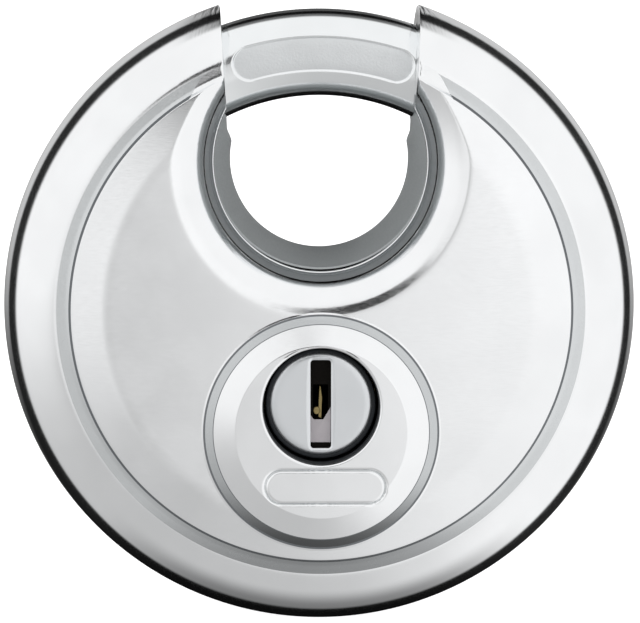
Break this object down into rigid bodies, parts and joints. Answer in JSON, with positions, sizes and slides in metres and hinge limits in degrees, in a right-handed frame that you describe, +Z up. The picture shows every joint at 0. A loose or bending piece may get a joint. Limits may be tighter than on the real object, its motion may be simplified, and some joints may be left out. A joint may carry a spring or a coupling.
{
  "type": "disc padlock",
  "caption": "Round closed-shackle disc padlock: welded steel shells, a curved shackle bridging a top notch, and a recessed key cylinder on a round boss.",
  "frame": {"origin": "middle of the shackle's inner surface, where a staple, hasp or chain bears and the padlock hangs; the disc's axis is 26.5 mm below it", "axes": "+X to the right seen from the key side, +Y towards the back along the disc's axis, +Z up as the padlock hangs"},
  "size_m": [0.08, 0.0272, 0.0781],
  "materials": {
    "polished_steel": "polished stainless steel",
    "chromed_steel": "hardened steel, satin chrome",
    "matt_steel": "matt hardened steel",
    "cast_zinc": "die-cast zinc, as cast",
    "brass": "machined brass",
    "spring_steel": "bright spring steel"
  },
  "bodies": {
    "body": {"front_shell": "polished_steel", "rear_shell": "polished_steel", "rim_weld": "polished_steel", "throat_liner": "matt_steel", "front_core": "cast_zinc", "hub_core": "cast_zinc", "rear_core": "cast_zinc", "left_dowel": "matt_steel", "right_dowel": "matt_steel", "cylinder_housing": "brass", "chamber_cover": "brass", "drill_guard": "matt_steel", "pin_spring_1": "spring_steel", "pin_spring_2": "spring_steel", "pin_spring_3": "spring_steel", "pin_spring_4": "spring_steel", "pin_spring_5": "spring_steel"},
    "plug": {"plug": "brass", "keyway_cover": "chromed_steel", "crank": "matt_steel", "crank_pin": "spring_steel", "tail_clip": "spring_steel"},
    "shackle": {"shackle": "chromed_steel", "drive_arm": "matt_steel", "arm_rivet_1": "spring_steel", "arm_rivet_2": "spring_steel"},
    "key_pin_1": {"key_pin_1": "brass"},
    "driver_pin_1": {"driver_pin_1": "spring_steel"},
    "key_pin_2": {"key_pin_2": "brass"},
    "driver_pin_2": {"driver_pin_2": "spring_steel"},
    "key_pin_3": {"key_pin_3": "brass"},
    "driver_pin_3": {"driver_pin_3": "spring_steel"},
    "key_pin_4": {"key_pin_4": "brass"},
    "driver_pin_4": {"driver_pin_4": "spring_steel"},
    "key_pin_5": {"key_pin_5": "brass"},
    "driver_pin_5": {"driver_pin_5": "spring_steel"}
  },
  "joints": [
    {"name": "plug_turn", "type": "hinge", "parent": "body", "child": "plug", "pos_m": [0, 0, -0.0383], "axis": [0, 1, 0], "range_deg": [0, 120]},
    {"name": "shackle_swing", "type": "hinge", "parent": "body", "child": "shackle", "pos_m": [0, 0, -0.0265], "axis": [0, 1, 0], "range_deg": [0, 60]},
    {"name": "key_pin_1_lift", "type": "slide", "parent": "plug", "child": "key_pin_1", "axis": [0, 0, 1], "range_m": [-0.003, 0]},
    {"name": "driver_pin_1_lift", "type": "slide", "parent": "body", "child": "driver_pin_1", "axis": [0, 0, 1], "range_m": [-0.003, 0], "deforming": ["pin_spring_1"]},
    {"name": "key_pin_2_lift", "type": "slide", "parent": "plug", "child": "key_pin_2", "axis": [0, 0, 1], "range_m": [-0.0018, 0]},
    {"name": "driver_pin_2_lift", "type": "slide", "parent": "body", "child": "driver_pin_2", "axis": [0, 0, 1], "range_m": [-0.0018, 0], "deforming": ["pin_spring_2"]},
    {"name": "key_pin_3_lift", "type": "slide", "parent": "plug", "child": "key_pin_3", "axis": [0, 0, 1], "range_m": [-0.0026, 0]},
    {"name": "driver_pin_3_lift", "type": "slide", "parent": "body", "child": "driver_pin_3", "axis": [0, 0, 1], "range_m": [-0.0026, 0], "deforming": ["pin_spring_3"]},
    {"name": "key_pin_4_lift", "type": "slide", "parent": "plug", "child": "key_pin_4", "axis": [0, 0, 1], "range_m": [-0.0014, 0]},
    {"name": "driver_pin_4_lift", "type": "slide", "parent": "body", "child": "driver_pin_4", "axis": [0, 0, 1], "range_m": [-0.0014, 0], "deforming": ["pin_spring_4"]},
    {"name": "key_pin_5_lift", "type": "slide", "parent": "plug", "child": "key_pin_5", "axis": [0, 0, 1], "range_m": [-0.0022, 0]},
    {"name": "driver_pin_5_lift", "type": "slide", "parent": "body", "child": "driver_pin_5", "axis": [0, 0, 1], "range_m": [-0.0022, 0], "deforming": ["pin_spring_5"]}
  ],
  "couplings": [
    {"joint": "shackle_swing", "follows": "plug_turn", "ratio": 0.5},
    {"joint": "driver_pin_1_lift", "follows": "key_pin_1_lift", "ratio": 1},
    {"joint": "driver_pin_2_lift", "follows": "key_pin_2_lift", "ratio": 1},
    {"joint": "driver_pin_3_lift", "follows": "key_pin_3_lift", "ratio": 1},
    {"joint": "driver_pin_4_lift", "follows": "key_pin_4_lift", "ratio": 1},
    {"joint": "driver_pin_5_lift", "follows": "key_pin_5_lift", "ratio": 1}
  ]
}
